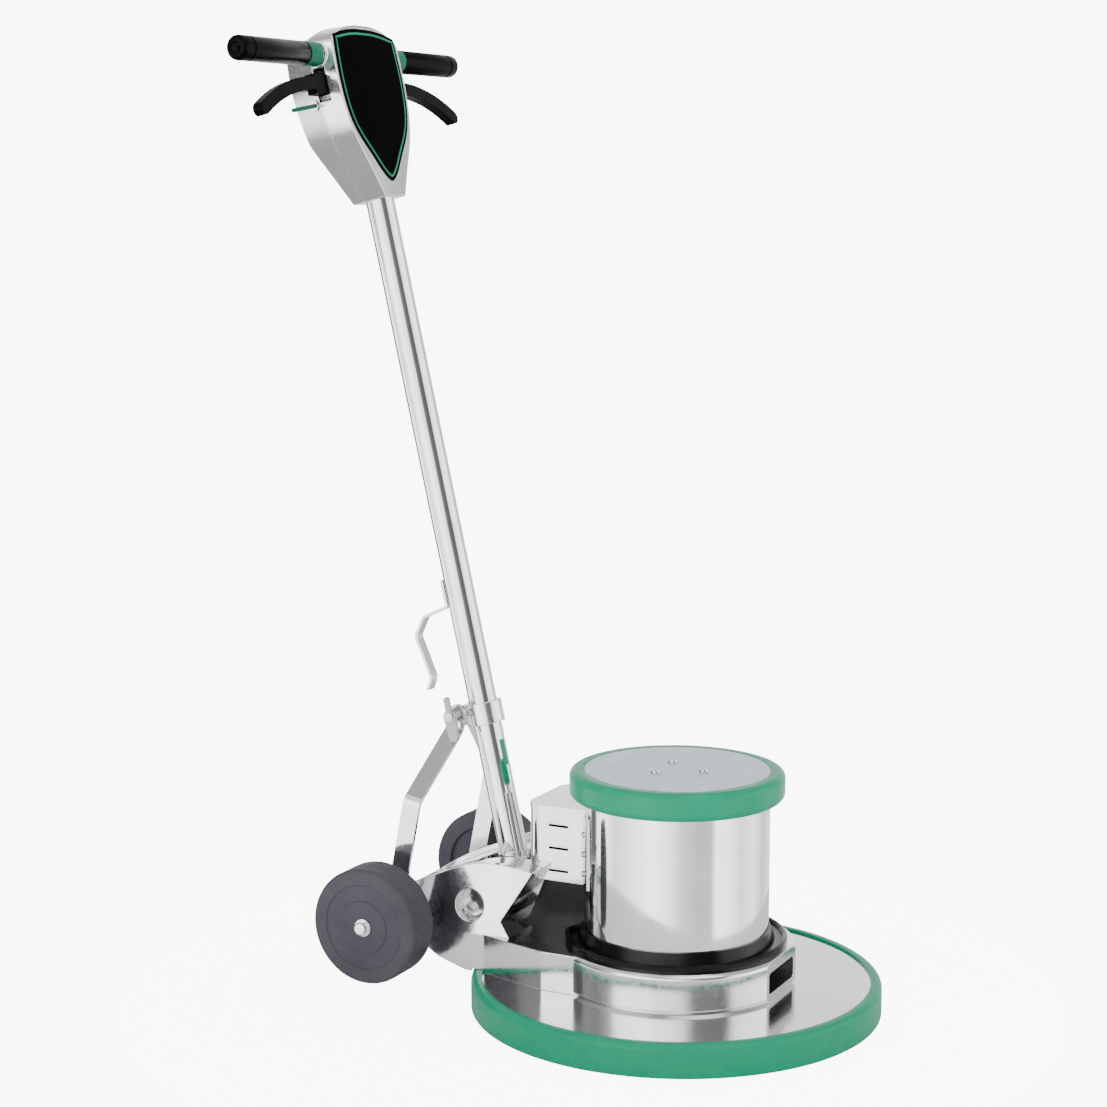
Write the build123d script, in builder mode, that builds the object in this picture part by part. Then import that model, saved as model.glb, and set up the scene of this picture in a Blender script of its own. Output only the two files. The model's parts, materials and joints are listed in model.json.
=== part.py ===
"""Rotary floor machine, 20 inch class, as an assembly of separate pieces.

Millimetres. The origin is on the drive axis at floor level, under the rim of the apron bumper.
-Y is the front (motor end), +Y is the rear (operator's side), +Z is up.
Left and right are the operator's: right is -X, left is +X.
"""
import os
from math import acos, cos, pi, radians, sin, tan

from build123d import *

os.makedirs("parts", exist_ok=True)

# ---- driving dimensions -------------------------------------------------------------------
bumper_radius = 266.7        # 21 in over the apron bumper
bumper_inner = 252.0
bumper_height = 43.0
apron_radius = 258.0
apron_top = 40.0
apron_thickness = 4.0
apron_bottom = apron_top - apron_thickness

collar_radius = 155.0        # round front part of the gear case
collar_top = 91.0
case_bottom = apron_top
case_wall = 7.0
case_draft = 8.0             # degrees

can_radius = 120.0           # polished motor cover
can_wall = 2.5
can_top = 313.0
plate_top = 317.0
motor_bumper_radius = 139.0
motor_bumper_bottom = 281.0

axle_y, axle_z = 359.0, 107.0
axle_radius = 8.0
wheel_radius = 76.2          # 6 in transport wheels
wheel_inner_x, wheel_outer_x = 137.0, 190.0
wheel_core_radius = 58.5
running_gap = 0.05

lean = radians(12.9)         # the handle leans back this much at rest
tube_radius = 19.05          # 1.5 in handle tube
tube_wall = 1.65
tube_top = 925.0             # measured up the handle from its joint line
pivot_y, pivot_z = 261.0, 117.0
clamp_s, clamp_n = 196.0, 27.0
grip_s = 1073.0
grip_end_x = 267.0

module = 1.5                 # planetary gears, 10 : 1
sun_teeth, planet_teeth, ring_teeth = 12, 48, 108
pressure_angle = radians(20)
tooth_play = 0.3
planet_orbit = module * (sun_teeth + planet_teeth) / 2

# ---- places -------------------------------------------------------------------------------
tube_foot = Vector(0, 238.5, 178.4)
handle_axis = Vector(0, sin(lean), cos(lean))
rearward = Vector(0, cos(lean), -sin(lean))
vertical_section = Plane.XZ
axle_section = Plane(origin=(0, axle_y, axle_z), x_dir=(1, 0, 0), z_dir=(0, -1, 0))
axle_line = Axis((0, axle_y, axle_z), (1, 0, 0))


def level(z):
    """Horizontal plane at a height."""
    return Plane.XY.offset(z)


def across(x, y=0.0, z=0.0):
    """Plane facing +X, whose own x runs rearwards (+Y) and own y runs up."""
    return Plane(origin=(x, y, z), x_dir=(0, 1, 0), z_dir=(1, 0, 0))


def on_handle(s, x=0.0, n=0.0):
    """Point s up the handle from its joint line, x sideways and n behind its axis."""
    return tube_foot + handle_axis * s + rearward * n + Vector(x, 0, 0)


def tube_plane(s, x=0.0, n=0.0):
    """Plane square to the handle, facing up it."""
    return Plane(origin=on_handle(s, x, n), x_dir=(1, 0, 0), z_dir=tuple(handle_axis))


def face_plane(n, x=0.0, s=0.0):
    """Plane parallel to the head's front face, facing forwards; own y runs up the handle."""
    return Plane(origin=on_handle(s, x, n), x_dir=(1, 0, 0), z_dir=tuple(rearward * -1))


def side_plane(x, n=0.0, s=0.0):
    """Plane facing +X in the handle's own directions: own x runs rearwards, own y up the handle."""
    return Plane(origin=on_handle(s, x, n), x_dir=tuple(rearward), z_dir=(1, 0, 0))


# ---- shared shapes ------------------------------------------------------------------------
def rod(plane, radius, length, mode=Mode.ADD):
    """Round bar that starts on the plane and runs along its normal."""
    with BuildSketch(plane) as section:
        Circle(radius)
    extrude(section.sketch, amount=length, mode=mode)


def pipe(plane, outer, inner, length):
    """Round tube that starts on the plane and runs along its normal."""
    with BuildSketch(plane) as section:
        Circle(outer)
        Circle(inner, mode=Mode.SUBTRACT)
    extrude(section.sketch, amount=length)


def hex_bar(plane, flat_radius, length):
    """Hexagonal bar, as in a bolt head or nut."""
    with BuildSketch(plane) as section:
        RegularPolygon(flat_radius, 6, major_radius=False)
    extrude(section.sketch, amount=length)


def block(plane, low, high, length, mode=Mode.ADD):
    """Bar of rectangular section between two corners in the plane."""
    with BuildSketch(plane) as section:
        with Locations(((low[0] + high[0]) / 2, (low[1] + high[1]) / 2)):
            Rectangle(abs(high[0] - low[0]), abs(high[1] - low[1]))
    extrude(section.sketch, amount=length, mode=mode)


def ring_of(points, axis, plane):
    """Solid of revolution whose closed section is given by its corner points."""
    with BuildSketch(plane) as section:
        with BuildLine():
            Polyline(*points, close=True)
        make_face()
    revolve(section.sketch, axis=axis)


def pan_screw(plane, radius=3.0, head=6.5, length=14.0):
    """Cross-recess pan-head screw: the head stands on the plane, the shank runs behind it."""
    with BuildSketch(plane) as head_disc:
        Circle(head)
    extrude(head_disc.sketch, amount=2.6, taper=18)
    with BuildSketch(plane.offset(1.2)) as recess:
        Rectangle(head, 1.3)
        Rectangle(1.3, head)
    extrude(recess.sketch, amount=3, mode=Mode.SUBTRACT)
    rod(plane, radius, -length)


# ---- apron --------------------------------------------------------------------------------
with BuildPart() as apron_bumper:
    with BuildSketch(vertical_section):
        with BuildLine():
            Polyline(
                (apron_radius, 0), (bumper_radius, 0), (bumper_radius, bumper_height),
                (bumper_inner, bumper_height), (bumper_inner, apron_top), (apron_radius, apron_top),
                (apron_radius, apron_bottom), (bumper_inner, apron_bottom),
                (bumper_inner, apron_bottom - 4), (apron_radius, apron_bottom - 8), close=True,
            )
        outline = make_face()
        fillet(outline.vertices().group_by(Axis.X)[-1].sort_by(Axis.Y)[-1], 7)
        fillet(outline.vertices().group_by(Axis.X)[-1].sort_by(Axis.Y)[0], 3)
    revolve(axis=Axis.Z)
apron_bumper.part.label = "apron_bumper"
export_step(apron_bumper.part, "parts/apron_bumper.step")

shaft_opening = 44.0
apron_screw_circle = 124.0
with BuildPart() as apron:
    pipe(level(apron_bottom), apron_radius, shaft_opening, apron_thickness)
    with BuildSketch(level(apron_top)):
        with PolarLocations(apron_screw_circle, 6, start_angle=30):
            Circle(4.2)
    extrude(amount=-apron_thickness, mode=Mode.SUBTRACT)
apron.part.label = "apron"
export_step(apron.part, "parts/apron.step")

with BuildPart() as apron_screws:
    for place in PolarLocations(apron_screw_circle, 6, start_angle=30):
        centre = place.position
        underside = Plane(origin=(centre.X, centre.Y, apron_bottom), z_dir=(0, 0, -1))
        hex_bar(underside, 6.5, 5)
        rod(underside, 4, -10)
apron_screws.part.label = "apron_screws"
export_step(apron_screws.part, "parts/apron_screws.step")


# ---- gear case ----------------------------------------------------------------------------
box_half_width = 60.0
box_rear = 190.0
box_bottom, box_top = 164.0, 258.0
cap_top = 269.0
flange_angle = 15.0
box_wall = 2.0


def box_plan(height, inset):
    """Plan of the capacitor box behind the motor cover, with rounded rear corners."""
    half = box_half_width - inset
    with BuildSketch(level(height)) as plan:
        with BuildLine():
            Polyline((-half, 60), (-half, box_rear - inset), (half, box_rear - inset), (half, 60), close=True)
        make_face()
        fillet(plan.vertices().group_by(Axis.Y)[-1], 22 - inset)
    return plan.sketch


def wall_plan(height, inset):
    """Plan outline of the rear body's walls at a height."""
    with BuildSketch(level(height)) as plan:
        with BuildLine():
            side = Spline(
                (104 - inset, 100), (102 - inset, 190), (103 - inset, 256), (98 - inset, 310),
                (87 - inset, 352), (84 - inset, 370), tangents=((0, 1), (0, 1)),
            )
            Polyline((0, 100), side @ 0)
            Polyline(side @ 1, (84 - inset, 404 - inset), (0, 404 - inset))
            mirror(about=Plane.YZ)
        make_face()
        fillet(plan.vertices().group_by(Axis.Y)[-1], 22 - inset)
    return plan.sketch


def skirt_plan(inset):
    """Plan outline of the low skirt that leads from the collar's flanks back into the walls."""
    with BuildSketch(level(case_bottom)) as plan:
        with BuildLine():
            side = Spline(
                (151 - inset, 34.9), (123 - inset, 158), (109 - inset, 206), (92 - inset, 264),
                tangents=((-34.9, 151), (-0.35, 1)),
            )
            Polyline((0, 34.9), side @ 0)
            Polyline(side @ 1, (0, 264))
            mirror(about=Plane.YZ)
        make_face()
    return plan.sketch


def rear_body(inset):
    """Rear body: upright skirt up to the collar's height, drawn-in walls above it."""
    skirt_height = collar_top - case_bottom
    extrude(skirt_plan(inset), amount=skirt_height - inset)
    extrude(wall_plan(case_bottom, inset), amount=skirt_height)
    extrude(wall_plan(collar_top, inset), amount=110, taper=case_draft)
    extrude(case_side(inset), amount=260, mode=Mode.INTERSECT)


deck_line = ((406, 103), (371, 128), (342, 144), (301, 162), (262, 178), (225, 184), (190, 182.5), (164, 179))


def case_side(inset):
    """Side outline of the rear body: curved deck, undercut front, floor rising to the axle."""
    with BuildSketch(across(-130)) as side_view:
        with BuildLine():
            deck = Spline(*[(y, z - inset) for y, z in deck_line])
            Polyline(
                deck @ 1, (206 + inset, 111), (192 + inset, collar_top - inset), (70, collar_top - inset),
                (70, case_bottom + inset), (256, case_bottom + inset), (300, 52 + inset),
                (345, 74 + inset), (385, 78 + inset), (404, 90 + inset), deck @ 0,
            )
        make_face()
    return side_view.sketch


def above_deck(drop):
    """Side outline of the space above the deck line, lowered by a drop."""
    with BuildSketch(across(-130)) as space:
        with BuildLine():
            floor_line = Spline(*[(y, z - drop) for y, z in deck_line])
            Polyline(floor_line @ 1, (100, 240), (430, 240), floor_line @ 0)
        make_face()
    return space.sketch


recess_depth = 8.0
with BuildPart() as case_core:
    rear_body(case_wall)
    extrude(above_deck(recess_depth + case_wall), amount=260, mode=Mode.SUBTRACT)
    block(level(0), (-130, 0), (130, collar_radius + case_wall), 200, mode=Mode.SUBTRACT)
    # solid metal behind the undercut front and around the capacitor box
    with BuildSketch(across(-130)):
        with BuildLine():
            Polyline((100, 115), (212, 115), (199, 146), (199, 195), (100, 195), close=True)
        make_face()
    extrude(amount=260, mode=Mode.SUBTRACT)

with BuildPart() as deck_recess:
    lip = 9.0
    extrude(wall_plan(collar_top, lip), amount=120, taper=case_draft)
    extrude(above_deck(recess_depth), amount=260, mode=Mode.INTERSECT)
    block(level(0), (-130, 0), (130, 176), 260, mode=Mode.SUBTRACT)
    block(level(0), (-130, 388), (130, 450), 260, mode=Mode.SUBTRACT)

pocket_y, pocket_z, pocket_radius = 252.0, 127.0, 21.0
pocket_floor_x = 78.0
knuckle_half_width = 21.0
bearing_seat_radius = 31.0
gear_bore_radius = 92.0
nose_y = -147.0
pivot_bolt_radius = 5.0
with BuildPart() as gear_case:
    rear_body(0)
    add(deck_recess.part, mode=Mode.SUBTRACT)
    add(case_core.part, mode=Mode.SUBTRACT)
    # round collar over the gears, with a softened upper rim
    with BuildSketch(vertical_section):
        with BuildLine():
            Polyline(
                (0, case_bottom), (collar_radius - 4, case_bottom), (collar_radius, case_bottom + 5),
                (collar_radius, collar_top), (0, collar_top), close=True,
            )
        collar = make_face()
        fillet(collar.vertices().sort_by(Axis.X)[-2:].sort_by(Axis.Y)[-1], 6)
    revolve(axis=Axis.Z)
    # flat pad on the nose, with a shallow recess inside its border
    block(level(case_bottom), (-80, -170), (80, nose_y), 60, mode=Mode.SUBTRACT)
    with BuildSketch(Plane(origin=(0, nose_y, 63), x_dir=(1, 0, 0), z_dir=(0, -1, 0))):
        RectangleRounded(84, 28, 5)
    extrude(amount=-2, mode=Mode.SUBTRACT)
    # pivot bosses either side of the knuckle, pocket bosses and the axle boss
    for side in (-1, 1):
        boss_face = across(side * (knuckle_half_width + 1), pivot_y, pivot_z)
        rod(boss_face, 15, side * (pocket_floor_x - knuckle_half_width - 9))
        rod(across(side * (pocket_floor_x - 10), pocket_y, pocket_z), pocket_radius + 6, side * 25)
        rod(across(side * pocket_floor_x, pocket_y, pocket_z), pocket_radius, side * 60, mode=Mode.SUBTRACT)
    rod(across(-76, axle_y, axle_z), 19, 152)
    rod(across(-130, axle_y, axle_z), axle_radius, 260, mode=Mode.SUBTRACT)
    rod(across(-100, pivot_y, pivot_z), pivot_bolt_radius, 200, mode=Mode.SUBTRACT)
    # room for the capacitor box and for the rim of the apron bumper
    extrude(box_plan(box_bottom - 2, -1.5), amount=60, mode=Mode.SUBTRACT)
    with BuildSketch(level(case_bottom)):
        Circle(bumper_radius + 0.5)
        Circle(bumper_inner - 0.5, mode=Mode.SUBTRACT)
    extrude(amount=bumper_height + 0.3 - case_bottom, mode=Mode.SUBTRACT)
    # slot in the deck that the knuckle swings through
    with BuildSketch(level(130)):
        with Locations((0, 247)):
            RectangleRounded(51, 97, 12)
    extrude(amount=80, mode=Mode.SUBTRACT)
    # gear chamber, ledge, bearing seat and shaft hole
    rod(level(34), shaft_opening - 1.5, 25)
    with BuildSketch(level(50)):
        Circle(88)
        Circle(shaft_opening - 2, mode=Mode.SUBTRACT)
    extrude(amount=14, mode=Mode.SUBTRACT)
    rod(level(64), gear_bore_radius, 40, mode=Mode.SUBTRACT)
    rod(level(59), 88, 6, mode=Mode.SUBTRACT)
    rod(level(42), bearing_seat_radius, 20, mode=Mode.SUBTRACT)
    rod(level(30), 17, 20, mode=Mode.SUBTRACT)
    with BuildSketch(level(case_bottom)):
        with PolarLocations(apron_screw_circle, 6, start_angle=30):
            Circle(4)
    extrude(amount=8, mode=Mode.SUBTRACT)
gear_case.part.label = "gear_case"
export_step(gear_case.part, "parts/gear_case.step")

boot_half_width = 46.0
with BuildPart() as motor_gasket:
    with BuildSketch(vertical_section):
        with BuildLine():
            Polyline(
                (can_radius, collar_top), (144, collar_top), (144, 98), (141, 100), (138, 98),
                (136, 95), (128, 95), (125, 103), (122.5, 110), (can_radius, 110), close=True,
            )
        make_face()
    revolve(axis=Axis.Z)
    # boot for the leads, under the capacitor box
    with BuildSketch(across(-boot_half_width)):
        with BuildLine():
            Polyline((60, collar_top), (187, collar_top), (190, 108), (168, box_bottom - 3),
                     (60, box_bottom - 3), close=True)
        make_face()
    extrude(amount=2 * boot_half_width)
    rod(level(collar_top), can_radius, 100, mode=Mode.SUBTRACT)
motor_gasket.part.label = "motor_gasket"
export_step(motor_gasket.part, "parts/motor_gasket.step")

# ---- motor cover --------------------------------------------------------------------------
flange_thickness = 2.0
flange_screw_radius = 1.8


def flange_screw_faces():
    """Planes on the capacitor box flanges, facing outwards, where its screws sit."""
    faces = []
    for angle in (125, 55):
        out = Vector(cos(radians(angle)), sin(radians(angle)), 0)
        for height in (182, 208, 234):
            place = out * (can_radius + flange_thickness) + Vector(0, 0, height)
            faces.append(Plane(origin=place, z_dir=tuple(out)))
    return faces


with BuildPart() as motor_can:
    pipe(level(collar_top), can_radius, can_radius - can_wall, can_top - collar_top)
    for face in flange_screw_faces():
        rod(face, flange_screw_radius, -6, mode=Mode.SUBTRACT)
motor_can.part.label = "motor_can"
export_step(motor_can.part, "parts/motor_can.step")

with BuildPart() as motor_bumper:
    with BuildSketch(vertical_section):
        with BuildLine():
            Polyline(
                (can_radius, motor_bumper_bottom), (motor_bumper_radius, motor_bumper_bottom),
                (motor_bumper_radius, plate_top), (can_radius, plate_top), close=True,
            )
        section = make_face()
        fillet(section.vertices().group_by(Axis.X)[-1], 8)
    revolve(axis=Axis.Z)
motor_bumper.part.label = "motor_bumper"
export_step(motor_bumper.part, "parts/motor_bumper.step")

top_screw_circle = 36.0
top_screw_angle = 33.0
with BuildPart() as motor_top_plate:
    rod(level(can_top), can_radius, plate_top - can_top)
    top_edge = motor_top_plate.edges().filter_by(GeomType.CIRCLE).sort_by(Axis.Z)[-1]
    chamfer(top_edge, 1)
    with BuildSketch(level(plate_top)):
        with PolarLocations(top_screw_circle, 3, start_angle=top_screw_angle):
            Circle(3)
    extrude(amount=-10, mode=Mode.SUBTRACT)
motor_top_plate.part.label = "motor_top_plate"
export_step(motor_top_plate.part, "parts/motor_top_plate.step")

# ---- motor --------------------------------------------------------------------------------
frame_radius, frame_inner = 86.0, 82.6
frame_bottom, frame_top = 101.0, 262.0
stack_bottom, stack_top = 140.0, 215.0
shaft_radius = 12.5
motor_bearing_radius = 26.0
rotor_radius = 46.5

with BuildPart() as motor_frame:
    pipe(level(frame_bottom), frame_radius, frame_inner, frame_top - frame_bottom)
motor_frame.part.label = "motor_frame"
export_step(motor_frame.part, "parts/motor_frame.step")

with BuildPart() as stator_core:
    with BuildSketch(level(stack_bottom)):
        Circle(frame_inner)
        Circle(rotor_radius + 0.6, mode=Mode.SUBTRACT)
        with PolarLocations(58, 24):
            Rectangle(15, 5.5, mode=Mode.SUBTRACT)
    extrude(amount=stack_top - stack_bottom)
stator_core.part.label = "stator_core"
export_step(stator_core.part, "parts/stator_core.step")

with BuildPart() as stator_windings:
    for low in (stack_bottom - 20, stack_top):
        pipe(level(low), 74, 51, 20)
    with BuildSketch(level(stack_bottom)):
        with PolarLocations(58, 24):
            Rectangle(13.6, 4.6)
    extrude(amount=stack_top - stack_bottom)
stator_windings.part.label = "stator_windings"
export_step(stator_windings.part, "parts/stator_windings.step")

with BuildPart() as rotor_core:
    pipe(level(stack_bottom), rotor_radius, shaft_radius, stack_top - stack_bottom)
    for low in (stack_bottom - 8, stack_top):
        pipe(level(low), rotor_radius, 34, 8)
rotor_core.part.label = "rotor_core"
export_step(rotor_core.part, "parts/rotor_core.step")

sun_bore = 5.0
with BuildPart() as motor_shaft:
    rod(level(67), sun_bore, 24)
    rod(level(87), shaft_radius, 186)
motor_shaft.part.label = "motor_shaft"
export_step(motor_shaft.part, "parts/motor_shaft.step")

fan_bottom = 238.0
with BuildPart() as cooling_fan:
    pipe(level(fan_bottom), 22, shaft_radius, 12)
    pipe(level(fan_bottom), 76, 22, 2)
    for place in PolarLocations(0, 10):
        blade_plane = level(fan_bottom) * place
        block(blade_plane, (21, -1.2), (76, 1.2), 12)
cooling_fan.part.label = "cooling_fan"
export_step(cooling_fan.part, "parts/cooling_fan.step")

with BuildPart() as lower_bracket:
    rod(level(collar_top), can_radius - can_wall, frame_bottom - collar_top)
    rod(level(87), 34, 19)
    rod(level(90), motor_bearing_radius, 20, mode=Mode.SUBTRACT)
    rod(level(80), shaft_radius + 1, 30, mode=Mode.SUBTRACT)
lower_bracket.part.label = "lower_bracket"
export_step(lower_bracket.part, "parts/lower_bracket.step")

with BuildPart() as upper_bracket:
    rod(level(frame_top), can_radius - can_wall, 8)
    rod(level(254), 34, 22)
    rod(level(250), motor_bearing_radius, 21, mode=Mode.SUBTRACT)
    rod(level(250), shaft_radius + 1, 30, mode=Mode.SUBTRACT)
    with BuildSketch(level(frame_top)):
        with PolarLocations(100, 8):
            Circle(9)
    extrude(amount=10, mode=Mode.SUBTRACT)
    # posts that the top plate is screwed to
    for place in PolarLocations(top_screw_circle, 3, start_angle=top_screw_angle):
        centre = place.position
        post = Plane(origin=(centre.X, centre.Y, 268))
        rod(post, 6, can_top - 268)
        rod(Plane(origin=(centre.X, centre.Y, can_top - 12)), 3, 12, mode=Mode.SUBTRACT)
upper_bracket.part.label = "upper_bracket"
export_step(upper_bracket.part, "parts/upper_bracket.step")

output_shaft_radius = 15.0
with BuildPart() as bearings:
    pipe(level(90), motor_bearing_radius, shaft_radius + running_gap, 15)
    pipe(level(256), motor_bearing_radius, shaft_radius + running_gap, 15)
    pipe(level(42), bearing_seat_radius, output_shaft_radius + running_gap, 16)
bearings.part.label = "bearings"
export_step(bearings.part, "parts/bearings.step")


# ---- planetary gears ----------------------------------------------------------------------
def flank_angle(teeth, radius, play):
    """Half the angle that an involute tooth covers at a radius, less half the play."""
    pitch_radius = module * teeth / 2
    base_radius = pitch_radius * cos(pressure_angle)
    at_radius = acos(base_radius / max(radius, base_radius))
    involute = tan(pressure_angle) - pressure_angle - (tan(at_radius) - at_radius)
    return pi / 2 / teeth + involute - play / 2 / pitch_radius


def tooth_outline(teeth, low_radius, high_radius, play, turn):
    """Corner points of a gear's outline; turn is the angle of the first tooth's middle."""
    pitch_radius = module * teeth / 2
    base_radius = pitch_radius * cos(pressure_angle)
    radii = [low_radius, high_radius]
    if low_radius < base_radius:
        radii.insert(1, base_radius)
    points = []
    for tooth in range(teeth):
        middle = turn + 2 * pi * tooth / teeth
        for sense, order in ((-1, radii), (1, radii[::-1])):
            for radius in order:
                angle = middle + sense * flank_angle(teeth, radius, play)
                points.append((radius * cos(angle), radius * sin(angle)))
    return points


addendum = 0.7 * module
dedendum = 0.9 * module
gear_bottom = 67.0
gear_width = 16.0

with BuildPart() as sun_gear:
    sun_pitch = module * sun_teeth / 2
    teeth = tooth_outline(sun_teeth, sun_pitch - dedendum, sun_pitch + addendum, tooth_play, pi / sun_teeth)
    with BuildSketch(level(gear_bottom)):
        with BuildLine():
            Polyline(*teeth, close=True)
        make_face()
        Circle(sun_bore, mode=Mode.SUBTRACT)
    extrude(amount=gear_width)
sun_gear.part.label = "sun_gear"
export_step(sun_gear.part, "parts/sun_gear.step")

with BuildPart() as ring_gear:
    ring_pitch = module * ring_teeth / 2
    spaces = tooth_outline(ring_teeth, ring_pitch - addendum, ring_pitch + dedendum, -tooth_play, 0)
    with BuildSketch(level(gear_bottom - 1)):
        Circle(gear_bore_radius)
        with BuildLine():
            Polyline(*spaces, close=True)
        make_face(mode=Mode.SUBTRACT)
    extrude(amount=gear_width + 2)
ring_gear.part.label = "ring_gear"
export_step(ring_gear.part, "parts/ring_gear.step")

planet_pin_radius = 7.0
planet_pitch = module * planet_teeth / 2
for number in (1, 2, 3):
    turn = 2 * pi / 3 * (number - 1)
    centre = (planet_orbit * cos(turn), planet_orbit * sin(turn), gear_bottom)
    teeth = tooth_outline(planet_teeth, planet_pitch - dedendum, planet_pitch + addendum, tooth_play, turn)
    with BuildPart() as planet_gear:
        with BuildSketch(Plane(origin=centre)):
            with BuildLine():
                Polyline(*teeth, close=True)
            make_face()
            Circle(planet_pin_radius + running_gap, mode=Mode.SUBTRACT)
            with PolarLocations(20, 6, start_angle=120 * (number - 1)):
                Circle(6, mode=Mode.SUBTRACT)
        extrude(amount=gear_width)
    planet_gear.part.label = f"planet_gear_{number}"
    export_step(planet_gear.part, f"parts/planet_gear_{number}.step")

carrier_bottom = 60.0
with BuildPart() as planet_carrier:
    pipe(level(carrier_bottom), 60, output_shaft_radius, 6)
    for place in PolarLocations(planet_orbit, 3):
        rod(Plane(origin=(place.position.X, place.position.Y, carrier_bottom)), planet_pin_radius, 24)
planet_carrier.part.label = "planet_carrier"
export_step(planet_carrier.part, "parts/planet_carrier.step")

hub_bottom = 14.0
with BuildPart() as output_shaft:
    rod(level(hub_bottom), output_shaft_radius, carrier_bottom + 6 - hub_bottom)
output_shaft.part.label = "output_shaft"
export_step(output_shaft.part, "parts/output_shaft.step")

hub_radius = 50.0
hub_screw_circle = 38.1
pilot_radius, pilot_length = 19.0, 8.0
with BuildPart() as drive_hub:
    rod(level(hub_bottom), hub_radius, 8)
    rod(level(hub_bottom), 27, 18)
    rod(level(hub_bottom - pilot_length), pilot_radius, pilot_length)
    rod(level(hub_bottom), output_shaft_radius, 20, mode=Mode.SUBTRACT)
    with BuildSketch(level(hub_bottom)):
        with PolarLocations(hub_screw_circle, 3, start_angle=30):
            Circle(3.4)
    extrude(amount=8, mode=Mode.SUBTRACT)
drive_hub.part.label = "drive_hub"
export_step(drive_hub.part, "parts/drive_hub.step")

# ---- capacitor box ------------------------------------------------------------------------
with BuildPart() as capacitor_box:
    extrude(box_plan(box_bottom, 0), amount=box_top - box_bottom)
    extrude(box_plan(box_bottom + box_wall, box_wall), amount=box_top, mode=Mode.SUBTRACT)
    # side flanges that follow the motor cover
    for side in (-1, 1):
        with BuildSketch(level(box_bottom)):
            with BuildLine():
                start = 90 + side * 28.5
                span = side * flange_angle
                outer = CenterArc((0, 0), can_radius + flange_thickness, start, span)
                inner = CenterArc((0, 0), can_radius, start, span)
                Line(outer @ 0, inner @ 0)
                Line(outer @ 1, inner @ 1)
            make_face()
        extrude(amount=box_top - box_bottom)
    rod(level(0), can_radius, 400, mode=Mode.SUBTRACT)
    for face in flange_screw_faces():
        rod(face, flange_screw_radius, -6, mode=Mode.SUBTRACT)
    # three pressed vents on each side
    for height in (178, 208, 238):
        for side in (-1, 1):
            vent = across(side * box_half_width, 141, height)
            block(vent, (-14, -1.8), (14, 1.8), -side * 6, mode=Mode.SUBTRACT)
            block(vent, (-15, 1.8), (15, 3.4), side * 1.6)
capacitor_box.part.label = "capacitor_box"
export_step(capacitor_box.part, "parts/capacitor_box.step")

with BuildPart() as capacitor_box_cap:
    extrude(box_plan(box_top, -0.8), amount=5)
    extrude(box_plan(box_top + 5, -0.8), amount=cap_top - box_top - 5, taper=45)
    rod(level(0), can_radius, 400, mode=Mode.SUBTRACT)
capacitor_box_cap.part.label = "capacitor_box_cap"
export_step(capacitor_box_cap.part, "parts/capacitor_box_cap.step")

with BuildPart() as capacitors:
    for x in (-24, 24):
        rod(Plane(origin=(x, 150, box_bottom + box_wall)), 19, 82)
        for dx in (-6, 6):
            block(Plane(origin=(x + dx, 150, box_bottom + 84)), (-0.5, -3), (0.5, 3), 7)
capacitors.part.label = "capacitors"
export_step(capacitors.part, "parts/capacitors.step")

with BuildPart() as cover_screws:
    for place in PolarLocations(top_screw_circle, 3, start_angle=top_screw_angle):
        pan_screw(Plane(origin=(place.position.X, place.position.Y, plate_top)), length=10)
    for face in flange_screw_faces():
        pan_screw(face, radius=flange_screw_radius, head=4.2, length=5)
cover_screws.part.label = "cover_screws"
export_step(cover_screws.part, "parts/cover_screws.step")

# ---- transport wheels ---------------------------------------------------------------------
strap_foot_x = 112.5
strap_thickness = 5.0
spindle_radius = 6.0
with BuildPart() as wheel_axle:
    rod(across(-wheel_outer_x - 0.3, axle_y, axle_z), axle_radius, 2 * wheel_outer_x + 0.6)
    rod(across(-wheel_outer_x - 6, axle_y, axle_z), spindle_radius, 2 * wheel_outer_x + 12)
wheel_axle.part.label = "wheel_axle"
export_step(wheel_axle.part, "parts/wheel_axle.step")

with BuildPart() as axle_spacers:
    strap_inner_face = strap_foot_x - strap_thickness / 2 - 0.2
    strap_outer_face = strap_foot_x + strap_thickness / 2 + 0.2
    for side in (-1, 1):
        for start, end in ((88.5, strap_inner_face), (strap_outer_face, wheel_inner_x - 0.3)):
            pipe(across(side * start, axle_y, axle_z), 13, axle_radius, side * (end - start))
axle_spacers.part.label = "axle_spacers"
export_step(axle_spacers.part, "parts/axle_spacers.step")

with BuildPart() as axle_caps:
    for side in (-1, 1):
        cap_face = across(side * (wheel_outer_x + 0.3), axle_y, axle_z)
        rod(cap_face, 11.5, side * 1.2)
        rod(cap_face, 8.4, side * 9.2)
        rod(cap_face, spindle_radius, side * 5.7, mode=Mode.SUBTRACT)
    crown = axle_caps.edges().filter_by(GeomType.CIRCLE).group_by(Axis.X)
    fillet(crown[0] + crown[-1], 2)
axle_caps.part.label = "axle_caps"
export_step(axle_caps.part, "parts/axle_caps.step")

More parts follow.
